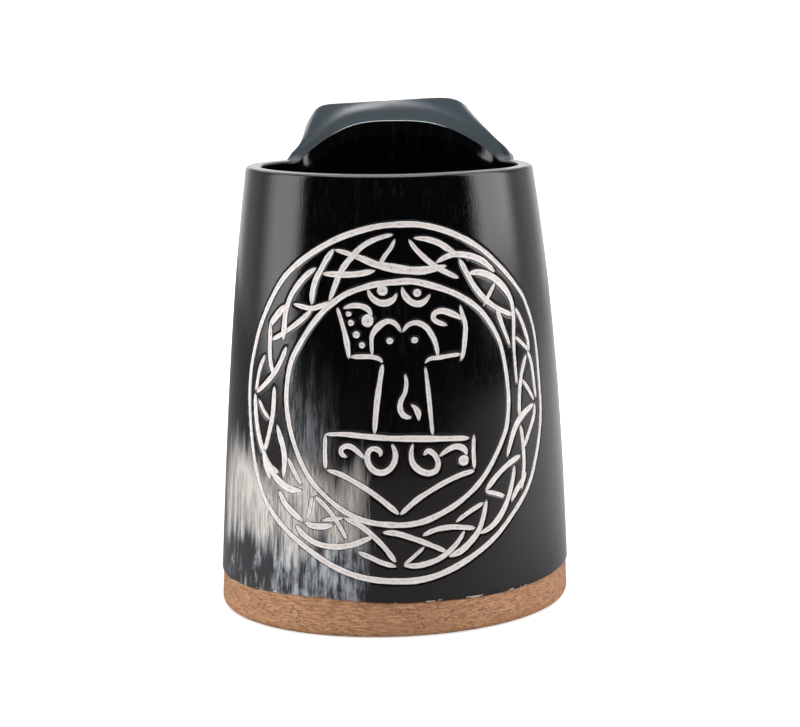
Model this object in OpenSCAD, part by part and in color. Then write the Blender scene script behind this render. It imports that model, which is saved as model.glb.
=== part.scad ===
/* [Body] */
// Height of the rim at the front
rim_h = 134; // [110:1:160]
// How far the rim falls from the front to the back
rim_drop = 5.2; // [0:0.2:8]
// Half of the long way across the oval at the underside
foot_long = 53.7; // [46:0.1:60]
// Pull of the wall's curve in its lower third, half of the long way across
low_long = 51.8; // [44:0.1:58]
// Pull of the wall's curve in its upper third, half of the long way across
high_long = 49.4; // [42:0.1:56]
// Half of the long way across the oval at the rim
rim_long = 42.6; // [36:0.1:50]
// The oval's short way across as a share of its long way
oval_share = 0.84; // [0.75:0.01:1]
// Turn of the oval's long way, counter-clockwise from the X axis
oval_turn = 21; // [0:1:45]
// How far the rim's middle leans sideways from the foot's
lean = -1.9; // [-4:0.1:4]
// Thickness of the horn
wall = 4.6; // [3.5:0.1:6]
// Radius of the rounded edges of the rim and the handle
edge_round = 1.4; // [0.6:0.1:1.7]

/* [Arch] */
// Rise of the rim's arch under the handle, over the rim's own slope
arch_rise = 12.1; // [8:0.1:16]
// Bearing of the arch's middle from the back, towards +X
arch_turn = 2; // [-10:1:10]
// Bearing from the arch's middle to where it meets the rim
arch_half = 58; // [45:1:62]

/* [Handle] */
// Distance of the handle's crown from the cup's axis
crown_y = 62; // [56:0.5:72]
// Height of the crown over the rim's front
crown_rise = 9; // [6:0.1:14]
// Half of the handle's width at the crown
crown_half = 25.2; // [18:0.1:28]
// Sideways place of the crown's middle
crown_x = -2.3; // [-4:0.1:4]
// How much higher the crown's +X end is than its other end
crown_tilt = 2.9; // [0:0.1:4]
// Drop of the crown's two rounded corners
corner_drop = 3; // [1:0.1:4]
// Radius of the bend over the crown
bend_r = 9.5; // [7.5:0.5:16]
// Length of the grip below the bend
grip_len = 64; // [50:1:72]
// Radius of the tuck towards the wall at the lower end
tuck_r = 45; // [30:1:60]
// Half of the handle's width at its lower end
tip_half = 11.5; // [9:0.5:16]

/* [Base] */
// Height of the wood that shows under the horn
wood_h = 11.1; // [8:0.1:14]
// Radius of the wood's lower edge
foot_round = 2.5; // [1:0.1:4]
// Height of the plug that the horn sits over
plug_h = 9; // [6:0.5:14]
// Gap between the plug or the seal and the horn
fit_gap = 0.15; // [0.1:0.05:0.4]
// Radius of the seal's hollow fillet over the plug
seal_size = 4.4; // [3:0.1:6]

/* [Fineness] */
// Steps round the oval
oval_steps = 96; // [48:12:120]
// Steps up the wall
wall_steps = 10; // [6:1:16]
// Steps across the handle
strap_steps = 14; // [8:2:20]

/* [Hidden] */

// The handle's grip and tuck: headings below the level, in degrees
bend_end = 86;
grip_end = 98;
tuck_end = 135;
// How far the handle's root reaches through the wall before it is trimmed
root_reach = wall / 2;
// How far the wall's top stays under the handle's root, which covers it
root_sink = wall / 2;
// Overrun of the cuts past the faces that they open
overrun = 2;
// How the handle's sides leave the rim, as shares of the shelf's length
leave_share = 0.3;
arrive_share = 0.34;
inward_share = 0.5;
lopsided_share = 0.26;
// Slope of the shelf's sides where they leave the rim and reach the crown
side_slope = 0.24;
round_angles = [30, 60, 90];
shelf_steps = 9;
bend_steps = 9;
grip_steps = 9;
tuck_steps = 6;
tip_share = 0.12;

function mix(a, b, t) = a + (b - a) * t;
function unit(v) = v / norm(v);
function cubic(a, b, c, d, t) =
    let (r = 1 - t) r * r * r * a + 3 * r * r * t * b + 3 * r * t * t * c + t * t * t * d;

// Half of the long way across the body at a height
function long_half(z) = cubic(foot_long, low_long, high_long, rim_long, z / rim_h);

// Point of the body's oval at a bearing from the back, drawn in by an inset
function oval_point(bearing, z, inset) =
    let (
        long = long_half(z) - inset,
        short = long_half(z) * oval_share - inset,
        along = 90 - bearing - oval_turn,
        reach = long * short / norm([short * cos(along), long * sin(along)])
    )
    [lean * pow(z / rim_h, 2) + reach * sin(bearing), reach * cos(bearing), z];

// Share of the arch's rise at a bearing
function arch_share(bearing) =
    let (s = abs(bearing - arch_turn) / arch_half) s < 1 ? pow(1 - pow(s, 3), 1.8) : 0;

// Height of the rim at a bearing: a sloping plane with the arch on it
function rim_z(bearing) =
    rim_h - rim_drop * (1 + cos(bearing)) / 2 + arch_rise * arch_share(bearing);

bearings = [for (i = [0 : oval_steps - 1]) 360 * i / oval_steps - 180];

// Ring round the body at one height, and one that follows the rim at a distance over it.
// Under the arch the second is sunk further, where the handle's root covers it.
function level_ring(z, inset) = [for (b = bearings) oval_point(b, z, inset)];
function rim_ring(over, inset, sunk = 0) =
    [for (b = bearings) oval_point(b, rim_z(b) + over - sunk * arch_share(b), inset)];

// Rings from one height up to a distance under the rim
function wall_rings(z, under, inset, sunk = 0) =
    [for (k = [0 : wall_steps])
        [for (b = bearings)
            oval_point(b, mix(z, rim_z(b) - under - sunk * arch_share(b), k / wall_steps), inset)]];

// Faces between each ring of n points and the next, for the given number of steps over m rings
function ring_faces(n, m, steps) =
    [for (k = [0 : steps - 1], i = [0 : n - 1])
        let (j = (i + 1) % n, up = (k + 1) % m) each [
            [k * n + i, up * n + j, up * n + i],
            [k * n + i, k * n + j, up * n + j]
        ]];

// Closed solid through a list of rings of equally many points, its ends closed to their middles
module loft(rings) {
    n = len(rings[0]);
    m = len(rings);
    one = [for (p = rings[0]) 1];
    polyhedron(
        points = concat(
            [for (ring = rings) each ring],
            [one * rings[0] / n, one * rings[m - 1] / n]
        ),
        faces = concat(
            ring_faces(n, m, m - 1),
            [for (i = [0 : n - 1]) [(i + 1) % n, i, m * n]],
            [for (i = [0 : n - 1]) [(m - 1) * n + i, (m - 1) * n + (i + 1) % n, m * n + 1]]
        )
    );
}

// Outer form of the horn, rounded over at the rim
module horn_outside() {
    loft(concat(
        wall_rings(wood_h, edge_round, 0, root_sink),
        [for (a = round_angles)
            rim_ring(edge_round * (sin(a) - 1), edge_round * (1 - cos(a)), root_sink)],
        [rim_ring(0, wall + overrun, root_sink)]
    ));
}

// Hollow of the horn, open at both ends, with the rim's inner edge rounded
module horn_hollow() {
    loft(concat(
        [level_ring(wood_h - overrun, wall)],
        wall_rings(wood_h, edge_round, wall),
        [for (a = round_angles)
            rim_ring(edge_round * (sin(a) - 1), wall - edge_round * (1 - cos(a)))],
        [rim_ring(overrun + edge_round, wall - edge_round)]
    ));
}

// Half of the flat width between the handle's rounded sides, at a share of the way to the tip
bend_len = bend_r * bend_end * PI / 180;
tuck_len = tuck_r * (tuck_end - grip_end) * PI / 180;
strap_len = bend_len + grip_len + tuck_len;
function strap_half(s) =
    let (end = tip_half / strap_len, q = max(0, (s - 1 + end) / end))
    (mix(tip_half, crown_half, pow(1 - s, 1.5)) - edge_round)
        * sqrt(max(tip_share * tip_share, 1 - q * q));

// Step along an arc that turns from one heading below the level to another, as [y, z]
function arc_step(r, from, to) = r * [sin(to) - sin(from), cos(to) - cos(from)];

// Middle line of the handle past its crown: [share of the way, y, z] for each step
grip_r = grip_len / ((grip_end - bend_end) * PI / 180);
bend_stop = [crown_y, rim_h + crown_rise] + arc_step(bend_r, 0, bend_end);
grip_stop = bend_stop + arc_step(grip_r, bend_end, grip_end);
fall = concat(
    [for (k = [1 : bend_steps])
        let (t = k / bend_steps)
        [t * bend_len, [crown_y, rim_h + crown_rise] + arc_step(bend_r, 0, t * bend_end)]],
    [for (k = [1 : grip_steps])
        let (t = k / grip_steps)
        [bend_len + t * grip_len,
            bend_stop + arc_step(grip_r, bend_end, mix(bend_end, grip_end, t))]],
    [for (k = [1 : tuck_steps])
        let (t = sqrt(k / tuck_steps))
        [bend_len + grip_len + t * tuck_len,
            grip_stop + arc_step(tuck_r, grip_end, mix(grip_end, tuck_end, t))]]
);

// Extra height across the crown: its tilt, less the drop of its corners
function crown_lift(w) = crown_tilt / 2 * w - corner_drop * pow(abs(w), 8);

// Upper face of the handle along one line, w from -1 at the -X side to 1
function strap_line(w) =
    let (
        bearing = arch_turn + w * arch_half,
        z = rim_z(bearing) - edge_round * pow(abs(w), 12),
        root = oval_point(bearing, z, 0),
        crown = [crown_x + w * (crown_half - edge_round), crown_y, rim_h + crown_rise + crown_lift(w)],
        reach = crown_y - root.y,
        rise = side_slope * abs(w),
        leave = root + leave_share * reach * [-inward_share * (1 - lopsided_share * w) * sin(bearing), 1, rise],
        arrive = crown - arrive_share * reach * [-w * rise, 1, rise]
    )
    concat(
        [oval_point(bearing, z, wall + root_reach), oval_point(bearing, z, wall / 2), root],
        [for (k = [1 : shelf_steps]) cubic(root, leave, arrive, crown, k / shelf_steps)],
        [for (step = fall)
            [crown_x + w * strap_half(step[0] / strap_len), step[1][0], step[1][1] + crown_lift(w)]]
    );

strap_lines = [for (j = [0 : strap_steps]) strap_line(2 * j / strap_steps - 1)];
strap_rows = len(strap_lines[0]);

// Direction square to the handle's upper face at a line and a row
function strap_normal(j, i) =
    let (
        across = strap_lines[min(j + 1, strap_steps)][i] - strap_lines[max(j - 1, 0)][i],
        along = strap_lines[j][min(i + 1, strap_rows - 1)] - strap_lines[j][max(i - 1, 0)]
    )
    unit(cross(across, along));

// Rounded side of the handle from its upper face down, or back up
function strap_side(j, inner, i) =
    let (
        p = strap_lines[j][i],
        n = strap_normal(j, i),
        out = unit(p - strap_lines[inner][i])
    )
    concat(
        [for (a = round_angles) p + edge_round * (sin(a) * out - (1 - cos(a)) * n)],
        [for (a = [90, 60, 30])
            p + edge_round * sin(a) * out - (wall - edge_round + edge_round * cos(a)) * n]
    );

// Section of the handle at a row
function strap_ring(i) =
    let (left = strap_side(0, 1, i))
    concat(
        [for (j = [0 : strap_steps]) strap_lines[j][i]],
        strap_side(strap_steps, strap_steps - 1, i),
        [for (j = [strap_steps : -1 : 0]) strap_lines[j][i] - wall * strap_normal(j, i)],
        [for (k = [len(left) - 1 : -1 : 0]) left[k]]
    );

// Rounded end past the handle's last section
function strap_end(a) =
    let (ring = strap_ring(strap_rows - 1), middle = [for (p = ring) 1] * ring / len(ring))
    [for (p = ring)
        mix(p, middle, edge_round * (1 - cos(a)) * 2 / wall)
            + edge_round * sin(a) * [0, cos(tuck_end), -sin(tuck_end)]];

module strap() {
    loft(concat(
        [for (a = [90, 60, 30]) strap_end(a)],
        [for (i = [strap_rows - 1 : -1 : 0]) strap_ring(i)]
    ));
}

// One piece of horn: the tapered wall, whose rim rises in an arch and runs on into the handle
module horn_body() {
    color("#2b2a2c") difference() {
        union() {
            horn_outside();
            strap();
        }
        horn_hollow();
    }
}

// Wooden base: a flush oval disc with a plug that the horn sits over
module wood_base() {
    color("#b98a62") loft(concat(
        [for (a = [90, 60, 30, 0])
            level_ring(foot_round * (1 - sin(a)), foot_round * (1 - cos(a)))],
        [level_ring(wood_h, 0), level_ring(wood_h, wall + fit_gap)],
        [level_ring(wood_h + plug_h, wall + fit_gap)]
    ));
}

// Sealing fillet in the corner between the plug's top and the horn, hollow in section
module base_seal() {
    floor_z = wood_h + plug_h;
    side = wall + fit_gap;
    arc = [for (a = [60, 40, 20, 0]) seal_size * [1 - sin(a), 1 - cos(a)]];
    rings = concat(
        [level_ring(floor_z, side), level_ring(floor_z + arc[0][1], side)],
        [for (p = arc) level_ring(floor_z + p[1], side + p[0])]
    );
    color("#6b4a2c") polyhedron(
        points = [for (ring = rings) each ring],
        faces = ring_faces(len(rings[0]), len(rings), len(rings))
    );
}

horn_body();
wood_base();
base_seal();
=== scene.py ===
# %% [markdown]
# # A drinking cup of horn
# The cup is one length of cattle horn, sawn to height, scraped thin and polished. At the back a tongue of
# the wall was left long, warmed and bent out and down as the handle. An oval disc of wood closes the foot,
# and a band of knots round a hammer pendant is cut into the front and filled with white paint.
# Shapes are worked out here in millimetres and put into Blender in metres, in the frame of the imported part.

import bmesh
import bpy
import numpy as np
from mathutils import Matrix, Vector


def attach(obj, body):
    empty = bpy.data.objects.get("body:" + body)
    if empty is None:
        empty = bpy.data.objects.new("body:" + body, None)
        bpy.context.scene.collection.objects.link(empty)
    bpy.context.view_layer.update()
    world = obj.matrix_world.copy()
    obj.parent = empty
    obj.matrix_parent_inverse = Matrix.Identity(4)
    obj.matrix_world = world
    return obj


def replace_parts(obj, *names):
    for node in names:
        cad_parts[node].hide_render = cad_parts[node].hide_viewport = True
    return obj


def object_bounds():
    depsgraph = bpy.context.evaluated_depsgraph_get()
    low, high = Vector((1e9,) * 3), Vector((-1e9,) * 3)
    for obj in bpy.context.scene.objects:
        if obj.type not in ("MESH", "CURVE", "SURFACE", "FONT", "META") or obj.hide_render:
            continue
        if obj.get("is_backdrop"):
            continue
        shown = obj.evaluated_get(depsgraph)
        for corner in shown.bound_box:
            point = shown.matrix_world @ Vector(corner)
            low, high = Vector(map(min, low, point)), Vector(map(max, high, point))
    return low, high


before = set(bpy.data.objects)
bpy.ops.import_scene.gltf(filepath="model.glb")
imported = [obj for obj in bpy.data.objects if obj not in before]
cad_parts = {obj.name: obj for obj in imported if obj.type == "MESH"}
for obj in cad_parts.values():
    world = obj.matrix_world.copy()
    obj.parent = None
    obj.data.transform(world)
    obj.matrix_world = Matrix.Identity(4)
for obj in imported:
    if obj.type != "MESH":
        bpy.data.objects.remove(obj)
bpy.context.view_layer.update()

# %% [markdown]
# ## Where the camera stands
# The photograph looks a little down on the cup, from straight in front. A camera can be found by trial, but
# the oval of the rim and the oval of the foot fix it: two ellipses of known size only fit one height, one
# distance and one pitch. Those three numbers also let us turn a pixel into a point on the horn later on.

# %% Camera
EYE = np.array([1.23, -820.0, 248.62])
PITCH = np.radians(12.19)
FOCAL_PX, MIDDLE_PX = 2805.0, np.array([400.0, 363.5])
PICTURE_PX, SENSOR = 800, 36


def placed(name, data):
    """New object in the scene, at the origin."""
    obj = bpy.data.objects.new(name, data)
    bpy.context.scene.collection.objects.link(obj)
    return obj


camera = placed("camera", bpy.data.cameras.new("camera"))
camera.location = EYE / 1000
camera.rotation_euler = (np.pi / 2 - PITCH, 0, 0)
camera.data.sensor_width = SENSOR
camera.data.lens = FOCAL_PX / PICTURE_PX * SENSOR
camera.data.clip_start = 0.05
bpy.context.scene.camera = camera
print("lens", round(camera.data.lens, 1), "mm on a sensor", SENSOR, "mm wide")

# %% [markdown]
# ## The wall of the cup
# A horn's section is never a true circle. This one is an oval, wider than deep and turned a little, that
# tapers upwards along a gentle curve and leans slightly. One function gives any point of it: the half width
# comes from a cubic curve over the height, and a bearing picks the point on the oval. Lofted circles would
# look machined, and a sculpted mesh could not be cut and painted exactly, so a formula serves best.

# %% Form of the wall
RIM_H, RIM_DROP = 134.0, 5.2
HALF_LONG = (53.66, 51.8, 49.4, 42.6)
OVAL, TURN, LEAN = 0.84, np.radians(21), -1.9
WALL, EDGE = 4.6, 0.9
WOOD_H, PLUG_H = 11.1, 9.0
ARCH_RISE, ARCH_TURN, ARCH_HALF = 12.1, 2.0, 58.0
RIM_DIP = 0.6
SEAM_AT = (95, 112, 130, 145, 165, 180, 193, 206, 218, 230, 248, 262, 280)
SEAM_BY = (0, -0.4, -0.8, -0.9, -0.6, -0.5, 0.0, 0.7, 0.5, 0.0, -0.5, -0.3, 0)


def cubic(a, b, c, d, t):
    """Bezier curve through a and d, pulled towards b and c, at t from 0 to 1."""
    r = 1 - t
    return r**3 * a + 3 * r * r * t * b + 3 * r * t * t * c + t**3 * d


def smooth(x, low=0.0, high=1.0):
    """0 below low, 1 above high, and an S curve between them."""
    t = np.clip((x - low) / (high - low), 0, 1)
    return t * t * (3 - 2 * t)


def oval(bearing, z, inset=0.0):
    """Point of the wall at a bearing in degrees from the back (+Y) towards +X, drawn in by an inset.
    On an oval with half axes L and S, the reach at angle a is L S / |(S cos a, L sin a)|."""
    bearing, z, inset = np.broadcast_arrays(np.asarray(bearing, float), z, inset)
    b = np.radians(bearing)
    half = cubic(*HALF_LONG, z / RIM_H)
    long, short = half - inset, half * OVAL - inset
    along = np.pi / 2 - b - TURN
    reach = long * short / np.hypot(short * np.cos(along), long * np.sin(along))
    return np.stack([LEAN * (z / RIM_H) ** 2 + reach * np.sin(b), reach * np.cos(b), z], -1)


def arch_share(bearing):
    """1 in the middle of the arch under the handle, falling to 0 at its two feet."""
    off = (np.asarray(bearing, float) - ARCH_TURN + 180) % 360 - 180
    s = np.clip(np.abs(off) / ARCH_HALF, 0, 1)
    return (1 - s**3) ** 1.8


def rim_z(bearing):
    """Height of the rim: a plane that falls to the back, with the arch on it and a slight dip in front."""
    front = np.clip(-np.cos(np.radians(np.asarray(bearing, float) + 2)), 0, 1)
    return (RIM_H - RIM_DROP * (1 + np.cos(np.radians(bearing))) / 2 + ARCH_RISE * arch_share(bearing)
            - RIM_DIP * front**4)


def seam_z(bearing):
    """Height of the saw cut over the wood, which wanders a little round the cup."""
    return WOOD_H + np.interp(np.asarray(bearing, float) % 360, SEAM_AT, SEAM_BY)


print("rim heights, front and back:", round(float(rim_z(180)), 1), round(float(rim_z(2)), 1))

# %% [markdown]
# ## From a pixel to the horn
# The cutter drew the pattern by hand, so it is easiest to write down as we see it: lists of pixels. A ray
# goes from the eye through each pixel, and halving the interval again and again finds where it enters the
# oval. The strokes then lie on the real curved wall and look right from every side.

# %% Rays onto the wall
NEAREST, FRONT_AT, FARTHEST = 745.0, 775.0, 850.0


def outside(p):
    """Below 0 inside the wall's outer form, above 0 outside it."""
    z = p[..., 2]
    half = cubic(*HALF_LONG, z / RIM_H)
    x, y = p[..., 0] - LEAN * (z / RIM_H) ** 2, p[..., 1]
    along, across = x * np.cos(TURN) + y * np.sin(TURN), y * np.cos(TURN) - x * np.sin(TURN)
    return (along / half) ** 2 + (across / (half * OVAL)) ** 2 - 1


def wall_at_pixel(pixels):
    """Points where the rays through the pixels meet the front of the wall."""
    off = (np.asarray(pixels, float) - MIDDLE_PX) / FOCAL_PX
    right, ahead = np.array([1.0, 0, 0]), np.array([0, np.cos(PITCH), -np.sin(PITCH)])
    up = np.array([0, np.sin(PITCH), np.cos(PITCH)])
    ray = ahead + off[:, :1] * right - off[:, 1:] * up
    depths = np.linspace(NEAREST, FARTHEST, 211)
    inside = outside(EYE + ray[None] * depths[:, None, None])
    far = depths[np.argmin(inside, 0)]
    near = np.full(len(ray), NEAREST)
    for _ in range(30):
        mid = (near + far) / 2
        hit = outside(EYE + ray * mid[:, None]) < 0
        near, far = np.where(hit, near, mid), np.where(hit, mid, far)
    return EYE + ray * far[:, None]


def wall_normal(p, d=0.01):
    """Direction square to the wall: the slope of outside() along each axis."""
    slopes = [outside(p + d * axis) - outside(p - d * axis) for axis in np.eye(3)]
    n = np.stack(slopes, -1)
    return n / np.linalg.norm(n, axis=-1, keepdims=True)


print("middle of the front, mm:", wall_at_pixel([(400, 404)]).round(1))

# %% [markdown]
# ## The drawing
# Two rings hold a band of interlaced leaves, an old northern border. Inside hangs the hammer pendant. Each
# stroke is a few pixels joined by a smooth curve, with the half width of the cut in mm, or several half
# widths where the gouge was pressed harder and lifted again. The strokes overlap where the carver let them
# meet, so nothing has to be trimmed.

# %% Rings and knots
RINGS = [
    ((0.92, 0.85, 0.75, 0.65, 0.58, 0.58, 0.65, 0.8, 0.92, 0.93, 0.72, 0.65, 0.55, 0.47, 0.55, 0.75, 0.92),
     [(410, 224.2), (383, 225.7), (362.4, 230.1), (342, 236.9), (326.7, 244.1), (311.4, 253.3),
     (297.1, 264), (284.9, 276.2), (275.7, 290.5), (267, 308.4), (259.9, 327.2), (255.3, 345.6),
     (251.2, 368), (249.6, 394), (250.3, 419), (252.4, 444.6), (255.6, 466.3), (262, 491.8), (272.2, 512.2),
     (286.2, 530), (301.5, 544), (321.9, 559.4), (339.8, 569.6), (358.9, 576.7), (378, 580.4), (398, 581.4),
     (416, 580.6), (435.7, 576), (456.3, 566.6), (478, 552.4), (496.5, 535.6), (510.6, 517.2), (523, 497.2),
     (531, 478.8), (536.6, 453.9), (539.7, 432), (540.8, 414.6), (540.4, 396.8), (538.6, 372), (536.5, 348),
     (532.8, 325.2), (524.6, 299.7), (517.4, 287.4), (507.2, 274.2), (497, 263), (484.8, 251.7),
     (471.5, 242.6), (456.2, 234.9), (440.9, 229.3), (425.6, 225.7)]),
    ((0.92, 0.88, 0.74, 0.7, 0.68, 0.66, 0.68, 0.76, 0.86, 0.84, 0.74, 0.72, 0.66, 0.6, 0.66, 0.8, 0.92),
     [(410.3, 281.3), (395, 282.2), (382.9, 283.4), (367.6, 286.4), (347.1, 293.6), (331.8, 303.8),
     (321.6, 313), (309.4, 328.3), (298.2, 346.6), (291, 361.9), (287.4, 380), (286.2, 400), (288.1, 419),
     (291.3, 434.4), (296.4, 451), (302.8, 466.3), (311.7, 481.6), (324.5, 495.7), (339.8, 508.4),
     (355.1, 517.3), (371.7, 522.8), (391.3, 525), (407.5, 524.8), (423.8, 521.5), (440.1, 514.2),
     (456.3, 504.4), (470.5, 492.5), (480, 482), (488.6, 469.5), (496.6, 454), (502, 441.4), (506.4, 428),
     (508.4, 412), (508.7, 396.8), (507.6, 383.4), (505.3, 366), (501.1, 345.6), (495, 331.3),
     (486.8, 318.1), (476.6, 306.8), (461.3, 296.6), (446, 290), (425.6, 283.9)]),
]
KNOTS = [
    # upper left
    ((0.5, 0.78, 0.8, 0.78, 0.6), [(393.6, 234.4), (382.9, 236.9), (371.6, 241), (361.4, 247.1),
     (353.3, 255.3), (345.1, 265), (339.5, 274.2), (335.4, 284.4), (330.8, 296.6), (328.8, 301.7)]),
    (0.62, [(395.1, 239), (391, 247.7), (384.9, 255.8), (378.8, 266)]),
    ((0.6, 0.8, 1.05, 1.15, 1.1, 0.6), [(334.4, 249.7), (347.1, 253.3), (362.4, 258.9), (377.8, 265),
     (400, 269.2), (418, 270.8), (433.8, 268.8), (447, 265.5)]),
    ((0.6, 0.88, 0.88, 0.6), [(321.6, 273.7), (331.8, 274.2), (347.1, 274.7), (360.4, 273.7),
     (375.7, 270.6)]),
    (0.8, [(333.9, 248.7), (326.7, 258.9), (320.6, 270.1), (315.5, 280.3), (312.4, 292.6), (311.4, 304.8)]),
    (0.8, [(316, 267.6), (306.3, 275.2), (298.2, 284.4), (291, 295.6), (286.9, 306.8), (284.9, 317),
     (283.9, 329.3), (282.9, 340.5)]),
    (0.7, [(293.1, 303.8), (301.2, 306.3), (311.4, 308.4), (321.6, 305.8), (330.5, 301.8)]),
    (0.7, [(311.4, 309.9), (303.3, 318.1), (293.1, 326.2), (282.9, 333.4), (271.6, 340)]),
    (1.0, [(284.9, 304.8), (278.8, 313), (272.7, 321.1), (269, 327.5)]),
    (0.66, [(270.2, 323.2), (270.1, 335.4), (269.6, 349.7), (270.6, 363), (273.4, 376)]),
    (0.68, [(286.4, 346.6), (280.8, 360.9), (274.7, 372.1), (266, 383), (256.4, 392.5)]),
    (0.6, [(265, 354.8), (259.4, 370.1), (255.8, 391)]),
    # left
    (0.78, [(255, 393), (256.3, 419), (259.4, 438.3), (264.5, 454.8), (270, 466), (279, 473)]),
    (0.6, [(258.3, 398.5), (263.3, 410.2), (269.4, 419.5)]),
    (0.68, [(274.3, 386), (272.6, 414), (267.7, 438.3), (264.3, 451)]),
    ((0.4, 0.8, 0.95, 0.8, 0.6), [(276.7, 424.2), (279.8, 435.7), (283.7, 451), (284.3, 463.8),
     (283, 477.8)]),
    ((0.8, 1.0, 0.8), [(263, 449), (265.8, 463.8), (269.8, 479.5)]),
    ((0.6, 0.9, 1.0, 1.0, 0.8), [(268.4, 460), (273.5, 474), (282.4, 484.2), (291.3, 489.3),
     (302.2, 490.8)]),
    (0.62, [(287.5, 457.4), (293.9, 471.4), (301.5, 485.8)]),
    (0.9, [(278.5, 490), (285, 503.3), (293.9, 513.5), (303, 521.5)]),
    (0.5, [(312, 495.7), (309.8, 508.4), (306.6, 519.9)]),
    (0.62, [(314.3, 495.7), (327, 508.4), (337.2, 522.4), (346.8, 539.7)]),
    (0.95, [(304, 522), (311.7, 525.6), (321.9, 526.6), (333.4, 525.4)]),
    (0.55, [(320.7, 520.8), (330.9, 519.3), (344, 518)]),
    (0.75, [(343.6, 518), (358.9, 525), (373, 536), (385, 548.2), (396.1, 562.9)]),
    # foot of the rings
    (0.8, [(295.2, 524.5), (304, 535.2), (316.8, 543.5), (333.4, 546.9), (350, 545.4), (362.8, 541),
     (373.6, 536.5)]),
    (0.72, [(357, 551.8), (369, 556.9), (382, 562.8), (396.7, 567)]),
    (0.75, [(382.3, 532.6), (396.7, 533.6), (413, 538.5), (429.2, 544.4), (447, 551.8)]),
    (0.52, [(424.9, 546.6), (416.2, 554.7), (403.7, 565.3)]),
    ((0.6, 0.9, 0.85, 0.65, 0.6), [(403.2, 565.8), (418.4, 565.6), (433.6, 561.4), (445.5, 554.7),
     (457.4, 542.8), (465, 530.6)]),
    ((0.7, 1.1, 0.9, 0.75, 0.6), [(449, 557), (461.8, 550.2), (472.6, 539.5), (479.1, 530), (483.5, 516.8),
     (486.9, 499.6)]),
    (0.75, [(422.4, 535.9), (435.7, 529.8), (450.9, 527.1), (463.9, 527.4), (475.9, 528.2)]),
    (0.65, [(455.8, 522.4), (467.2, 513.5), (484, 502.4)]),
    ((0.7, 0.9, 0.85, 0.8, 0.6), [(480.2, 533.6), (491.1, 527), (499.7, 516.8), (506.2, 504.2),
     (510.4, 491), (513.4, 477), (514.7, 465)]),
    # right
    (0.85, [(511.8, 501.3), (517.1, 489.6), (522.8, 480.3), (526.4, 471.5)]),
    (0.62, [(485.7, 491.5), (495.7, 493.3), (505.5, 496.5)]),
    (0.78, [(485.6, 491.2), (495.2, 478), (504.8, 467.5), (513.6, 460), (521.2, 454.9)]),
    (0.62, [(520.7, 424.5), (522.5, 437), (523.8, 450.4), (524.3, 463.8), (523.4, 475.4), (522.1, 488.8)]),
    ((0.5, 0.95, 0.8, 0.62), [(534.1, 403), (524.3, 412.9), (518, 421.8), (513.6, 432.5), (510, 445.9),
     (507.3, 457.1)]),
    (0.62, [(534.9, 403), (534.1, 414.6), (530.5, 428), (526.1, 441.4), (524.5, 447.5)]),
    (0.56, [(522.3, 379.3), (527.9, 388), (534.3, 400)]),
    (0.62, [(526.3, 354), (523.3, 366), (520.9, 379), (519.8, 392.3), (519.4, 405.7), (519.6, 417)]),
    (0.58, [(527.5, 350.7), (531.5, 363), (533.9, 380), (536, 397.5)]),
    (0.52, [(515.4, 336.4), (522.6, 343.6), (530, 351)]),
    (0.6, [(515.2, 307.5), (520.5, 318.1), (524.6, 329.3), (527.7, 339.5), (529.3, 350)]),
    ((0.8, 0.7, 0.4), [(497, 305.8), (499.1, 315), (503.2, 327.2), (507.2, 337.4), (510.3, 346.1)]),
    # upper right
    (0.6, [(495.5, 282), (489.9, 293.6), (483.6, 306)]),
    ((0.7, 1.0, 0.95, 0.7, 0.58, 0.5, 0.45), [(468.3, 274), (476.6, 272.1), (486.8, 274.2), (497, 280.3),
     (506.2, 290.5), (511.3, 300.7), (513.4, 313), (513.9, 327.2), (513.9, 342.6), (514.9, 357.9),
     (516.9, 384)]),
    (0.75, [(459.3, 258.5), (466.4, 272.1), (474.6, 286.4), (484.8, 298.7), (495, 306.8), (505.2, 311.9),
     (513, 315.2)]),
    ((0.6, 0.85, 0.95, 0.9, 0.5), [(435.8, 263), (444, 257.9), (454.2, 254.3), (466.4, 255.1),
     (476.6, 257.9), (485.4, 263), (495.4, 272.4)]),
    ((0.5, 0.8, 0.85, 0.75), [(413, 238), (425.6, 239), (437.9, 242.6), (448.1, 248.7), (458.6, 256)]),
    ((0.5, 0.75, 0.8, 0.65), [(408.3, 239), (415.4, 248.7), (424.6, 257.9), (434.8, 266), (446, 272.1),
     (459.6, 278.4)]),
]
print(len(RINGS), "rings and", len(KNOTS), "strokes of knotwork")

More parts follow.
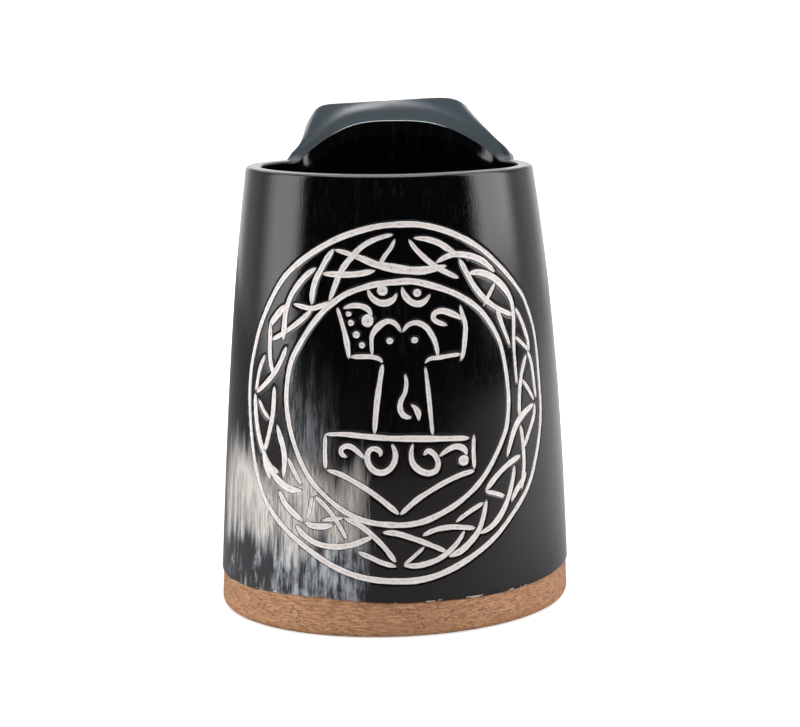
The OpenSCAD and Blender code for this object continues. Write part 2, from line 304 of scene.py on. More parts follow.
# %% Hammer pendant
HAMMER = [
    # eyes over the hammer
    ((0.5, 0.9, 1.0, 0.5), [(367.4, 288.6), (371.4, 297), (378.6, 302.4), (386.4, 303), (393.2, 299.6),
     (397.4, 292.8)]),
    ((0.85, 0.9, 0.9, 0.45), [(402, 286.6), (404.2, 294.5), (410.4, 301.5), (418, 304), (425, 301),
     (430.8, 294)]),
    # left wing and its curl
    ((0.5, 0.62, 0.85, 0.5), [(336.8, 306.6), (342, 323.6), (346.6, 341.4), (349.2, 360)]),
    ((0.5, 0.7, 0.75, 0.8), [(342.5, 308.6), (352, 305.8), (361.5, 306.2), (368.5, 310), (371.6, 317)]),
    (0.62, [(349.6, 357), (361.2, 356.7), (371.4, 356.9), (379, 359), (382.8, 363)]),
    # right wing and its curl
    ((0.6, 0.85, 0.8, 0.7, 0.7), [(463.5, 319.5), (453, 314), (442.2, 310.9), (434.8, 313.2),
     (433.6, 318.7), (438.6, 322.6), (448, 325.4)]),
    ((0.5, 0.65, 0.7, 0.6), [(460.3, 304.6), (462, 312.5), (465.5, 325), (464.8, 341.4), (463.4, 353),
     (460.9, 361)]),
    ((0.4, 0.65, 0.65, 0.6), [(424.8, 363.6), (430, 358.9), (440.3, 357.4), (450.5, 355.6), (461.5, 354)]),
    # brow
    ((0.5, 0.55, 0.95, 0.8, 0.5), [(372.2, 356), (371.6, 345.3), (372.2, 335.5), (378.4, 326.6),
     (387.6, 321.3), (395.7, 324.2), (401.6, 332.8)]),
    ((0.5, 0.75, 0.8, 0.6), [(402.4, 332.4), (408.4, 325), (417.3, 322.8), (426.3, 327.4), (433.3, 337.6),
     (436.5, 346.5), (438.2, 357)]),
    # shaft
    ((0.6, 0.8, 0.8, 0.7), [(382.7, 363.5), (381.4, 372), (378.5, 391.2), (376.2, 410.3), (374.4, 434.5)]),
    ((0.4, 0.62, 0.62, 0.55), [(425.4, 366.5), (427.6, 384.8), (429.5, 402.7), (432.8, 435.5)]),
    ((0.45, 0.62, 0.65, 0.85, 0.7), [(404.7, 373.4), (406.4, 382.2), (405.2, 392.4), (400.9, 401.5),
     (400.3, 409.8), (404.4, 416), (412.4, 418)]),
    ((0.6, 0.85, 0.85), [(410.8, 404.3), (415.5, 408.3), (418.4, 414), (418.8, 421)]),
    # head
    ((0.5, 0.8, 0.9, 0.9, 0.7), [(324.6, 434.4), (344.6, 434.4), (363.8, 436.4), (389.3, 438.4),
     (414.8, 438.8), (440.3, 438.8), (470.2, 438)]),
    (0.62, [(325.2, 434.4), (324.8, 452), (325.4, 470)]),
    (0.66, [(474.2, 434.6), (473.7, 451.7), (474.7, 469.4)]),
    (0.75, [(326.2, 470), (339.8, 474.2), (353.8, 481.6), (367.9, 490.2), (383, 501.2), (399.6, 515)]),
    (0.75, [(475.4, 470.4), (461.8, 474.5), (445.5, 482.1), (429.2, 491.8), (416.2, 500.5), (400, 515)]),
    # scrolls in the head
    ((0.9, 0.6, 0.75, 0.75, 0.6), [(347.2, 457.5), (342, 454.4), (341, 449.6), (345.2, 446.4), (351.2, 447),
     (357.2, 451.4), (365, 459.2)]),
    ((1.0, 0.7, 0.85, 0.95, 0.9, 0.8, 0.5), [(379.6, 457), (380.6, 452.8), (376.6, 449.2), (370.6, 449.6),
     (367.4, 455.2), (368.5, 463.8), (374.2, 470.8), (382.5, 472.8), (390.3, 468.6), (394.9, 460.5),
     (395.1, 452), (391.4, 443.4)]),
    ((0.5, 0.7, 0.9, 0.95, 0.8, 0.7, 0.9), [(413, 443.4), (411.2, 453.9), (413, 463.6), (420.2, 470.8),
     (429.2, 473.2), (436.4, 470), (438.2, 462.5), (434.4, 454.6), (428.2, 451), (423.6, 455.6)]),
    ((0.45, 0.75, 0.9, 0.9), [(438.8, 457), (448, 449.8), (456.8, 446.4), (464.6, 449.2), (467, 455.5)]),
]
DOTS = [(1.5, (382.3, 290.6)), (1.13, (417.3, 292.9)), (0.78, (348.5, 314)), (0.85, (351, 323)),
        (1.0, (356.2, 334.8)), (0.85, (361.9, 345.3)), (0.95, (389.9, 341)), (0.95, (414.8, 340.2)),
        (1.7, (367.4, 320.8)), (1.4, (464, 460.4))]
print(len(HAMMER), "strokes and", len(DOTS), "dots in the pendant")

# %% Strokes on the wall
STEP, LEAST_STEPS, POINT_SHARE = 0.4, 14, 0.08


def through(pixels, closed=False, per_gap=12):
    """Smooth curve through the points: between two of them, a cubic whose slope at each is half the step
    from its neighbour before to its neighbour after."""
    p = np.asarray(pixels, float)
    if closed:
        p = np.concatenate([p[-1:], p, p[:2]])
    else:
        p = np.concatenate([2 * p[:1] - p[1:2], p, 2 * p[-1:] - p[-2:-1]])
    a, b, c, d = (q[:, None] for q in (p[:-3], p[1:-2], p[2:-1], p[3:]))
    t = (np.arange(per_gap) / per_gap)[None, :, None]
    curve = (2 * b + (c - a) * t + (2 * a - 5 * b + 4 * c - d) * t**2 + (3 * b - a - 3 * c + d) * t**3) / 2
    return np.concatenate([curve.reshape(-1, 2), p[-2:-1]])


def stroke(half, pixels, closed=False, ends=4.0, point=0.7):
    """Line of a gouge on the wall: points an even step apart, and the half width at each. Over the last few
    half widths it narrows as (1 - (1 - q)^2)^point, where q goes from 0 at the end to 1."""
    line = wall_at_pixel(through(pixels, closed))
    way = np.concatenate([[0], np.cumsum(np.linalg.norm(np.diff(line, axis=0), axis=1))])
    n = max(LEAST_STEPS, int(way[-1] / STEP)) + 1
    at = np.linspace(0, way[-1], n)
    line = np.stack([np.interp(at, way, line[:, k]) for k in range(3)], -1)
    half = np.interp(at, np.linspace(0, way[-1], np.size(half)), np.atleast_1d(half))
    if closed:
        return line[:-1], half[:-1], True
    q = np.clip(np.minimum(at, way[-1] - at) / np.minimum(ends * half, way[-1] / 2), 0, 1)
    return line, half * np.maximum((1 - (1 - q) ** 2) ** point, POINT_SHARE), False


def dot(half, pixel):
    """A dot is a stroke as short as it is wide, with round ends."""
    r = half * FOCAL_PX / FRONT_AT
    x, y = pixel
    return stroke(half, [(x - r, y), pixel, (x + r, y)], ends=1.0, point=0.5)


strokes = [stroke(h, p, closed=True) for h, p in RINGS]
strokes += [stroke(h, p) for h, p in KNOTS + HAMMER]
strokes += [dot(h, p) for h, p in DOTS]
print("cut in all, mm:", round(sum(STEP * len(s[0]) for s in strokes)))

# %% [markdown]
# ## Grids and welded patches
# The horn is one skin: outer wall, rim, inner wall, and the handle that grows out of the rim. No single
# rectangle of points covers that, but a few do, if their borders share the same points. Each patch is a
# whole array. After the patches are put side by side, merging points that coincide welds them shut.

# %% Mesh helpers
SAME_PLACE = 2e-6


def faces_of(rows, cols, wrap=False, first=0):
    """Quads between neighbouring points of a grid whose points are counted row by row."""
    i, j = np.meshgrid(np.arange(rows - 1), np.arange(cols if wrap else cols - 1), indexing="ij")
    k = (j + 1) % cols
    quads = np.stack([i * cols + j, i * cols + k, (i + 1) * cols + k, (i + 1) * cols + j], -1)
    return quads.reshape(-1, 4) + first


def closing(rows, cols, first=0):
    """Quads from the last row of a ring-shaped grid back to its first row."""
    start = first + np.arange(cols)
    last = start + (rows - 1) * cols
    return np.stack([last, np.roll(last, -1), np.roll(start, -1), start], -1)


def object_of(name, points_mm, *face_sets):
    """New object at the origin from points in millimetres and arrays of quads or triangles."""
    mesh = bpy.data.meshes.new(name)
    faces = [face for face_set in face_sets for face in face_set.tolist()]
    mesh.from_pydata((points_mm / 1000).tolist(), [], faces)
    return placed(name, mesh)


def weld(obj, fill_ends=False):
    """Merges coinciding points or fills the ends of strips, turns faces outwards and shades them smooth."""
    work = bmesh.new()
    work.from_mesh(obj.data)
    if fill_ends:
        bmesh.ops.holes_fill(work, edges=[e for e in work.edges if len(e.link_faces) == 1], sides=12)
    else:
        bmesh.ops.remove_doubles(work, verts=work.verts, dist=SAME_PLACE)
    bmesh.ops.recalc_face_normals(work, faces=work.faces)
    work.to_mesh(obj.data)
    open_edges = sum(1 for e in work.edges if len(e.link_faces) != 2)
    work.free()
    obj.data.polygons.foreach_set("use_smooth", np.ones(len(obj.data.polygons), bool))
    print(obj.name, "faces", len(obj.data.polygons), "open edges", open_edges)
    return obj


def keep(obj, name, shares):
    """Keeps a share from 0 to 1 at each point of the mesh, for its material to read."""
    obj.data.attributes.new(name, "FLOAT", "POINT").data.foreach_set("value", np.asarray(shares, np.float32))


def joined(grids):
    """Points and quads of several grids, given as (array of rows x columns x 3, wraps round)."""
    points, faces, first = [], [], 0
    for grid, wrap in grids:
        rows, cols = grid.shape[:2]
        points.append(grid.reshape(-1, 3))
        faces.append(faces_of(rows, cols, wrap, first))
        first += rows * cols
    return np.concatenate(points), np.concatenate(faces)


# %% [markdown]
# ## Cutting the grooves
# Cutting with booleans would mean a hundred fragile operations. Because the wall is a fine grid of bearings
# and heights, each point of a stroke only has to push down the few grid points round it, by a depth that
# falls off at the gouge's edge. The deepest push wins where strokes cross.

# %% Outer wall with its grooves
ARCH_COLS = np.linspace(ARCH_TURN - ARCH_HALF, ARCH_TURN + ARCH_HALF, 49)
FRONT, FRONT_N = (107.5, 242.0), 224
RIGHT_COLS = np.linspace(ARCH_COLS[-1], FRONT[0], 21)[1:]
FRONT_COLS = np.linspace(*FRONT, FRONT_N + 1)[1:]
LEFT_COLS = np.linspace(FRONT[1], ARCH_COLS[0] + 360, 25)[1:-1]
columns = np.concatenate([ARCH_COLS, RIGHT_COLS, FRONT_COLS, LEFT_COLS])
ROW_STEP, TOP_ROWS = 0.5, 8
FINE_Z = np.arange(122.5, 14.9, -ROW_STEP)
FILLET, SEAM, OVER_SEAM = 6.0, 0.35, 1.6


def bearing_of(p):
    """Bearing in degrees of points on the wall."""
    return np.degrees(np.arctan2(p[:, 0] - LEAN * (p[:, 2] / RIM_H) ** 2, p[:, 1]))


def spread(bearing):
    """-1 to 1 across the arch, and beyond outside it."""
    return ((bearing - ARCH_TURN + 180) % 360 - 180) / ARCH_HALF


def fillet_height(w):
    """How far the fillet under the handle runs down the wall; none at the arch's feet."""
    return FILLET * np.clip(1 - np.abs(w) ** 4, 0, 1)


top = rim_z(columns) - WALL - fillet_height(spread(columns))
down = np.linspace(0, 1, TOP_ROWS + 1)[:-1, None]
seam_up = np.array([OVER_SEAM, SEAM, 0.1, 0.0])
seam_in = np.array([0, 0, 0.1, SEAM])
z_rows = np.concatenate([top + (FINE_Z[0] - top) * down, np.repeat(FINE_Z[:, None], len(columns), 1),
                         seam_z(columns) + seam_up[:, None]])
in_rows = np.concatenate([np.zeros(TOP_ROWS + len(FINE_Z)), seam_in])[:, None]
outer = oval(columns[None], z_rows, in_rows)

GROOVE, MARGIN, SLOPE = 0.42, 0.2, 0.42
cut = np.zeros(outer.shape[:2])
col_step = (FRONT[1] - FRONT[0]) / FRONT_N
col_first = len(ARCH_COLS) + len(RIGHT_COLS) - 1
beside = np.arange(-5, 6)
for line, half, _ in strokes:
    col = np.round((bearing_of(line) % 360 - FRONT[0]) / col_step).astype(int) + col_first
    row = np.round((FINE_Z[0] - line[:, 2]) / ROW_STEP).astype(int) + TOP_ROWS
    col, row = np.broadcast_arrays(col[:, None, None] + beside[:, None], row[:, None, None] + beside)
    away = np.linalg.norm(outer[row, col] - line[:, None, None], axis=-1)
    np.maximum.at(cut, (row, col), GROOVE * smooth((half[:, None, None] + MARGIN - away) / SLOPE))
outer = outer - cut[..., None] * wall_normal(outer)
print("outer wall", outer.shape[:2], "deepest cut", round(float(cut.max()), 2), "mm")

# %% [markdown]
# ## Rim and inner wall
# The rim is flat on top with softened edges, as sanding leaves it. Where the warm tongue was bent out for the
# handle, the wall under it leans out too, its inner edge was cut crisp, and the face behind that edge slopes
# a touch towards the drinker, which shows as a darker band.

# %% Inner wall and rim
quarter = np.linspace(0, np.pi / 2, 7)[:, None]
sin_a, cos_a = np.sin(quarter), np.cos(quarter)
LIP, FLARE, LIP_H = 1.3, 8.5, 7.5
CRISP, BEVEL, INNER_ROWS, CROWDED = 0.65, 0.5, 27, 2.2


def lip_of(bearing):
    """How far the wall's upper edge leans out under the arch, with a flare near the arch's feet."""
    s = np.clip(np.abs(spread(bearing)), 0, 1)
    return LIP * arch_share(bearing) + FLARE * s**6 * (1 - s**6) ** 2


lip = lip_of(columns)
inner_edge = EDGE - CRISP * arch_share(columns)
bevel = BEVEL * arch_share(columns)
in_share = 1 - np.linspace(1, 0, INNER_ROWS)[:, None] ** CROWDED
inner_top = rim_z(columns) - inner_edge - bevel
inner_z = seam_z(columns) + (inner_top - seam_z(columns)) * in_share
lean_out = np.clip(1 - (inner_top - inner_z) / LIP_H, 0, 1) ** 2
inner = oval(columns[None], inner_z, WALL - lip * lean_out)
inner_round = oval(columns[None], rim_z(columns) - bevel - inner_edge * (1 - sin_a),
                   WALL - lip - inner_edge * (1 - cos_a))
across = np.linspace(0, 1, 6)[1:, None]
flat_in = (WALL - inner_edge) + (EDGE - WALL + inner_edge) * across - lip
flat = oval(columns[None], rim_z(columns) - bevel * (1 - smooth(across, 0, 0.9)), flat_in)
top_edge = np.concatenate([inner_round, flat])

outside_cols = np.r_[len(ARCH_COLS) - 1:len(columns), 0]
depths = np.concatenate([EDGE + (WALL - 2 * EDGE) * np.array([0.33, 0.67, 1.0])[:, None],
                         (WALL - EDGE) + EDGE * cos_a[::-1][1:]])
outer_round = oval(columns[None], rim_z(columns) - EDGE * (1 - cos_a), EDGE * (1 - sin_a))
outer_strip = oval(columns[None], rim_z(columns) - depths, 0)
rim_patch = np.concatenate([top_edge, outer_round[1:], outer_strip])[:, outside_cols]
print("rim patch", rim_patch.shape[:2], "inner wall", inner.shape[:2])

# %% [markdown]
# ## The handle
# The tongue leaves the rim level, widens into a shelf, bends over at the crown, and falls as a flat grip
# that tucks in towards the wall. Each line along it starts on the rim and runs down a smooth curve, so the
# upper face is one array. The underside is that face moved down by the thickness, square to a softer copy
# of it, plus a fillet that dies into the wall. A rounded section swept along the border closes the sides and
# the tip.

# %% Upper face of the handle
CROWN_Y, CROWN_RISE, CROWN_HALF, CROWN_X = 62.0, 8.97, 25.2, -2.3
CROWN_TILT, CORNER_DROP, TIP_HALF = 2.9, 3.0, 11.5
BEND_R, GRIP_LEN, TUCK_R = 9.5, 64.0, 45.0
BEND_END, GRIP_END, TUCK_END = (np.radians(x) for x in (86, 98, 135))
LEAVE, ARRIVE, INWARD, LOPSIDED = 0.3, 0.34, 0.5, 0.26
START_SLOPE, START_SIDE, FULLNESS, SIDE_SLOPE = 0.24, 0.42, 0.2, 0.24
CAMBER, CAMBER_BY, TIP_SHARE = 0.8, 0.12, 0.12
EVEN_FROM, EVEN_BY = 0.15, 0.7
LEFT_CORNER, RIGHT_CORNER, SOFT_CORNER = 16, 8, 3  # the higher, the nearer to the border a corner falls

w = np.linspace(-1, 1, len(ARCH_COLS))
root = oval(ARCH_COLS, rim_z(ARCH_COLS), EDGE - lip_of(ARCH_COLS))
reach = CROWN_Y - root[:, 1]
leave = root + (LEAVE * reach)[:, None] * np.stack(
    [-INWARD * (1 - LOPSIDED * w) * np.sin(np.radians(ARCH_COLS)), np.ones_like(w),
     START_SLOPE + (START_SIDE - START_SLOPE) * np.abs(w) + FULLNESS * w**2 * (1 - w**2)], -1)
arriving = (ARRIVE * reach)[:, None] * np.stack(
    [-w * SIDE_SLOPE * np.abs(w), np.ones_like(w), SIDE_SLOPE * np.abs(w)], -1)
phi = np.radians(np.linspace(0, 90, 9)[1:])[:, None]
first = FILLET * (1 - np.cos(phi)) / (3 * LEAVE * reach)
rest = np.linspace(0, 1, 17)[1:, None]
t_rows = np.concatenate([first, first[-1] + (1 - first[-1]) * rest])


def along_arc(radius, start, turns):
    """Points [y, z] of an arc from the origin. Its heading below the level goes from start through turns."""
    return radius * np.stack([np.sin(turns) - np.sin(start), np.cos(turns) - np.cos(start)], -1)


crown_at = np.array([CROWN_Y, RIM_H + CROWN_RISE])
bend = crown_at + along_arc(BEND_R, 0, np.linspace(0, BEND_END, 15)[1:])
grip_turns = np.linspace(BEND_END, GRIP_END, 19)[1:]
grip = bend[-1] + along_arc(GRIP_LEN / (GRIP_END - BEND_END), BEND_END, grip_turns)
tip = np.linspace(0, np.arccos(TIP_SHARE), 16)[1:]
tuck_len = TUCK_R * (TUCK_END - GRIP_END)
tuck_turn = GRIP_END + np.concatenate([np.linspace(0, tuck_len - TIP_HALF, 10)[1:],
                                       tuck_len - TIP_HALF * (1 - np.sin(tip))]) / TUCK_R
tuck = grip[-1] + along_arc(TUCK_R, GRIP_END, tuck_turn)
fall = np.concatenate([bend, grip, tuck])
path = np.concatenate([[crown_at], fall])
run = np.cumsum(np.linalg.norm(np.diff(path, axis=0), axis=1))
s = run / run[-1]
tip_round = np.concatenate([np.ones(len(fall) - len(tip)), np.cos(tip)])
half_width = (TIP_HALF + (CROWN_HALF - TIP_HALF) * (1 - s) ** 1.5 - EDGE) * tip_round
camber = CAMBER * smooth(s, 0.0, CAMBER_BY) * tip_round**2
even = 1 - smooth(s, EVEN_FROM, EVEN_BY)


def face_with(drop):
    """Rows of the face from the rim over the crown to the tip, with the crown's corners hung by a drop."""
    lift = CROWN_TILT / 2 * w - drop
    crown = np.stack([CROWN_X + w * (CROWN_HALF - EDGE), np.full_like(w, CROWN_Y), crown_at[1] + lift], -1)
    shelf = cubic(root, leave, crown - arriving, crown, t_rows[..., None])
    fall_face = np.stack([CROWN_X + half_width[:, None] * w, fall[:, :1] - camber[:, None] * w**2,
                          fall[:, 1:] + lift * even[:, None]], -1)
    return np.concatenate([root[None], shelf, fall_face])


face = face_with(CORNER_DROP * np.abs(w) ** np.where(w < 0, LEFT_CORNER, RIGHT_CORNER))
print("handle's face", face.shape[:2], "length past the crown, mm:", round(float(run[-1]), 1))

# %% Underside, sides and tip
def unit(v):
    """Vectors brought to length 1."""
    return v / np.maximum(np.linalg.norm(v, axis=-1, keepdims=True), 1e-9)


def grid_normal(grid):
    """Direction square to a grid: its slope down the rows crossed with its slope along the columns."""
    return unit(np.cross(np.gradient(grid, axis=1), np.gradient(grid, axis=0)))


LET_GO, MID = 9.0, len(w) // 2
n_face, n_soft = grid_normal(face), grid_normal(face_with(CORNER_DROP * np.abs(w) ** SOFT_CORNER))
n_face *= np.sign(n_face[:1, MID:MID + 1, 2:])
n_soft *= np.sign(n_soft[:1, MID:MID + 1, 2:])
gone = np.concatenate([np.zeros((1, len(w))),
                       np.cumsum(np.linalg.norm(np.diff(face, axis=0), axis=-1), axis=0)])
blend = smooth(gone, 0, LET_GO)[..., None]
round_off = 1 - np.sqrt(np.clip(1 - np.clip(1 - gone / FILLET, 0, 1) ** 2, 0, 1))
extra = fillet_height(w) * round_off
wall_foot = oval(ARCH_COLS, rim_z(ARCH_COLS) - WALL - fillet_height(w), 0)
up = np.array([0, 0, 1.0])
hugging = wall_foot + (face - root) + (fillet_height(w) - extra)[..., None] * up
under = hugging * (1 - blend) + (face - (WALL + extra)[..., None] * n_soft) * blend


def border(grid):
    """Border of the handle from one foot down its side, round the tip and up to the other foot."""
    return np.concatenate([grid[:, 0], grid[-1, 1:-1], grid[::-1, -1]])


p, low, b_side = border(face), border(under), border(blend)
level = np.concatenate([EDGE * (1 - cos_a[:, 0])[1:], depths[:, 0]])[:, None]
reach_out = np.concatenate([EDGE * sin_a[1:, 0], np.full(3, EDGE), EDGE * sin_a[::-1, 0][1:]])[:, None]
n = unit(border(n_face)[:, None] * (1 - level / WALL) + border(n_soft)[:, None] * level / WALL)
out = unit(np.cross(np.gradient(p, axis=0)[:, None], n))
out *= np.sign(((p[0] - p[-1]) * out[0, 0]).sum())
foot = np.where(np.arange(len(p)) < len(p) // 2, 0, -1)
free = p[:, None] + reach_out * out - level * n
at_wall = np.concatenate([outer_round[1:], outer_strip])[:, [0, len(ARCH_COLS) - 1]]
held = at_wall.transpose(1, 0, 2)[foot] + (p - root[foot])[:, None]
side = held * (1 - b_side[:, None]) + free * b_side[:, None]
side = np.concatenate([p[:, None], side[:, :-1], low[:, None]], 1)
print("side strip", side.shape[:2])

# %% Weld the horn
handle_top = np.concatenate([top_edge[:, :len(ARCH_COLS)], face[1:]])
bottom = oval(columns[None], seam_z(columns), np.linspace(SEAM, WALL, 4)[:, None])
horn_points, horn_faces = joined([
    (outer, True), (inner, True), (bottom, True), (rim_patch, False),
    (handle_top, False), (under, False), (side, False)])
horn = object_of("horn_cup", horn_points, horn_faces)
groove_share = np.zeros(len(horn_points))
groove_share[:cut.size] = cut.ravel() / GROOVE
keep(horn, "groove", groove_share)
weld(horn)
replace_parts(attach(horn, "root"), "horn_body")

# %% Painted highlight on the arch's edge, sanded rim with painted highlight, sawn edge
# The crisp edge of the arch is painted pale as a highlight, the rim was sanded level and its top is painted a
# light grey that is partly the sanded horn and partly a painted highlight, and the saw chipped the lower
# edge. The mesh keeps how much of each a point has.
HIGHLIGHT_MM, SANDED_AND_HIGHLIGHT_MM = (0.12, 0.34), (-0.5, -0.1)
HIGHLIGHT_FROM, HIGHLIGHT_TO = (-46, -34), (24, 40)
place = np.empty(3 * len(horn.data.vertices))
horn.data.vertices.foreach_get("co", place)
place = 1000 * place.reshape(-1, 3)
at = bearing_of(place)
# a painted highlight: a pale line along the arch's crisp inner edge, kept as a share on the mesh
edge_line = oval(at, rim_z(at) - BEVEL * arch_share(at), WALL - lip_of(at))
painted_highlight = 1 - smooth(np.linalg.norm(place - edge_line, axis=1), *HIGHLIGHT_MM)
keep(horn, "painted_highlight", painted_highlight * smooth(at, *HIGHLIGHT_FROM) * (1 - smooth(at, *HIGHLIGHT_TO)))
# the rim's top: sanded horn, which also stands in for a painted highlight along the rim
sanded_and_highlight = smooth(place[:, 2] - rim_z(at), *SANDED_AND_HIGHLIGHT_MM) * (outside(place) < 0)
keep(horn, "sanded_and_highlight", sanded_and_highlight * (1 - smooth(arch_share(at), 0.0, 0.12)))
keep(horn, "sawn", 1 - smooth(place[:, 2] - seam_z(at), SEAM, OVER_SEAM))
print("worn points", int((painted_highlight > 0.1).sum()), "sanded points", int((sanded_and_highlight > 0.1).sum()))

# %% [markdown]
# ## Paint in the grooves
# White paint was rubbed into the cuts and wiped off the polished horn. If it were only a colour on the wall,
# its edges would blur over the grid, so each stroke gets a strip of its own: a flat body a little below the
# surface that follows the stroke and hides the groove's floor. A UV map keeps the way along it and the
# share across it, for the scratches that run down the middle.

# %% Strips of paint
TOP_ACROSS = np.linspace(-1, 1, 7)
ACROSS = np.concatenate([TOP_ACROSS, [0.85, 0.0, -0.85]])
WOBBLE, SUNK, HOLLOW, THROUGH = 0.16, 0.04, 0.22, 0.55
SINK = np.concatenate([SUNK + HOLLOW * (1 - TOP_ACROSS**2), np.full(3, THROUGH)])
noise = np.random.default_rng(7)


def paint_strip(line, half, closed):
    """Section of ten points carried along a stroke: a hollow top near the surface and a bottom below it."""
    turn = np.roll(line, -1, 0) - np.roll(line, 1, 0) if closed else np.gradient(line, axis=0)
    n = wall_normal(line)
    side = unit(np.cross(n, turn))
    wobble = np.convolve(noise.normal(0, 1, len(line) + 8), np.ones(9) / 9, "valid") * WOBBLE
    half = half * (1 + wobble)
    grid = line[:, None] + (half[:, None] * ACROSS)[..., None] * side[:, None] - SINK[:, None] * n[:, None]
    way_cm = np.arange(len(line))[:, None] * STEP / 10
    return grid, np.stack(np.broadcast_arrays(way_cm, ACROSS), -1)


points, faces, uvs, first = [], [], [], 0
for line, half, closed in strokes:
    grid, uv = paint_strip(line, half, closed)
    rows, cols = grid.shape[:2]
    quads = faces_of(rows, cols, True, first)
    if closed:
        quads = np.concatenate([quads, closing(rows, cols, first)])
    points.append(grid.reshape(-1, 3))
    faces.append(quads)
    uvs.append(uv.reshape(-1, 2))
    first += rows * cols
points, faces, uvs = np.concatenate(points), np.concatenate(faces), np.concatenate(uvs)
paint = object_of("engraving_paint", points, faces)
layer = paint.data.uv_layers.new(name="stroke")
layer.data.foreach_set("uv", uvs[faces.ravel()].astype(np.float32).ravel())
weld(paint, fill_ends=True)
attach(paint, "root")

# %% [markdown]
# ## Wooden foot and its seal
# The disc is turned to the horn's own oval, so its side is flush with the wall, with a soft lower edge and
# a plug that goes up inside. A profile of (inset, height) pairs carried round the oval makes it, and a
# second, hollow one makes the bead of sealant in the corner over the plug.

# %% Wood and seal
around = np.linspace(0, 360, 241)[:-1]


def carried(profile):
    """Rings of the wall's oval for each (inset, height) of a profile. Rings near the saw cut follow it."""
    inset, z = (v[:, None] for v in np.array(profile, float).T)
    follow = smooth(z, FOOT, WOOD_H) * (1 - smooth(z, WOOD_H, WOOD_H + 1))
    return oval(around[None], z + (seam_z(around) - WOOD_H) * follow, inset)


def capped(name, grid):
    """Object from rings, its first and last ring closed to their middles."""
    rows, cols = grid.shape[:2]
    points = np.concatenate([grid.reshape(-1, 3), [grid[0].mean(0), grid[-1].mean(0)]])
    k = np.arange(cols)
    k2, top_row = (k + 1) % cols, (rows - 1) * cols
    low_cap = np.stack([k2, k, np.full(cols, rows * cols)], -1)
    high_cap = np.stack([top_row + k, top_row + k2, np.full(cols, rows * cols + 1)], -1)
    return weld(object_of(name, points, faces_of(rows, cols, True), low_cap, high_cap))


def hollow_round(inset, z, radius, angles):
    """Quarter turn of a profile that starts level, radius inwards of the inset, and ends upright at it."""
    return [(inset + radius * (1 - np.sin(a)), z + radius * (1 - np.cos(a))) for a in angles]


FOOT, GAP, SEAL, STEP_IN = 2.5, 0.15, 4.4, 0.45
UNDER_IN, TOP_IN = 12, 14
plug_in, floor_z = WALL + GAP, WOOD_H + PLUG_H
foot_round = hollow_round(STEP_IN, 0, FOOT, np.linspace(0, np.pi / 2, 9))
wood_side = [(STEP_IN, z) for z in np.linspace(FOOT, WOOD_H - SEAM, 9)[1:]]
seam_round = [(STEP_IN + 0.1, WOOD_H - 0.1), (STEP_IN + SEAM, WOOD_H)]
plug = [(1.2, WOOD_H), (plug_in, WOOD_H), (plug_in, WOOD_H + 0.05), (plug_in, floor_z - 0.05),
        (plug_in, floor_z), (plug_in + 0.3, floor_z), (TOP_IN, floor_z)]
underside = [(UNDER_IN, 0), (FOOT + 0.8, 0)]
wood = capped("wooden_foot", carried(underside + foot_round + wood_side + seam_round + plug))
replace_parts(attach(wood, "root"), "wood_base")

hollow = hollow_round(plug_in, floor_z, SEAL, np.linspace(np.pi / 3, 0, 9))
bead = carried([(plug_in, floor_z), (plug_in, floor_z + SEAL / 2)] + hollow)
rows, cols = bead.shape[:2]
seal = weld(object_of("seal_bead", bead.reshape(-1, 3), faces_of(rows, cols, True), closing(rows, cols)))
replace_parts(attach(seal, "root"), "base_seal")

# %% [markdown]
# ## Finishes
# Horn is dense keratin with fibres that run up the wall. Polished, it is nearly black here, with a pale
# streaked patch low on the left where the pigment stopped. One group of nodes gives the fibres, and the
# horn uses it twice, each with its own stretch. Everything reads Object coordinates or what the mesh keeps,
# so it stays put in any view.

# %% Node helpers
def material(name):
    """New material with its nodes and its shader."""
    made = bpy.data.materials.new(name)
    made.use_nodes = True
    tree = made.node_tree
    return made, tree, tree.nodes["Principled BSDF"]


def feed(tree, made, values):
    """Gives a node's inputs values or links, in (name or index, value) pairs."""
    for key, value in values:
        if isinstance(value, bpy.types.NodeSocket):
            tree.links.new(value, made.inputs[key])
        else:
            made.inputs[key].default_value = value
    return made


def node(tree, kind, values=(), **settings):
    """Adds a node, sets its properties and feeds its inputs."""
    made = tree.nodes.new(kind)
    for key, value in settings.items():
        setattr(made, key, value)
    return feed(tree, made, values)


def maths(tree, operation, a, b=0.0, clamp=False):
    """One step of arithmetic."""
    return node(tree, "ShaderNodeMath", [(0, a), (1, b)], operation=operation, use_clamp=clamp).outputs[0]


def times(tree, a, b, clamp=False):
    """Product of two numbers."""
    return maths(tree, "MULTIPLY", a, b, clamp)


def ranged(tree, value, low, high, to_low=0.0, to_high=1.0, kind="SMOOTHSTEP"):
    """Maps a value from one range to another, held at its ends."""
    return node(tree, "ShaderNodeMapRange", [("Value", value), ("From Min", low), ("From Max", high),
                                             ("To Min", to_low), ("To Max", to_high)],
                interpolation_type=kind).outputs["Result"]


def between(tree, share, a, b):
    """Two numbers mixed by a share."""
    return node(tree, "ShaderNodeMix", [(0, share), (2, a), (3, b)]).outputs[0]


def mixed(tree, share, a, b):
    """Two colours mixed by a share."""
    colours = [(key, value if isinstance(value, bpy.types.NodeSocket) else (*value, 1))
               for key, value in ((6, a), (7, b))]
    return node(tree, "ShaderNodeMix", [(0, share)] + colours, data_type="RGBA").outputs[2]


def either(tree, share, a, b):
    """Two shaders mixed by a share."""
    return node(tree, "ShaderNodeMixShader", [(0, share), (1, a), (2, b)]).outputs[0]


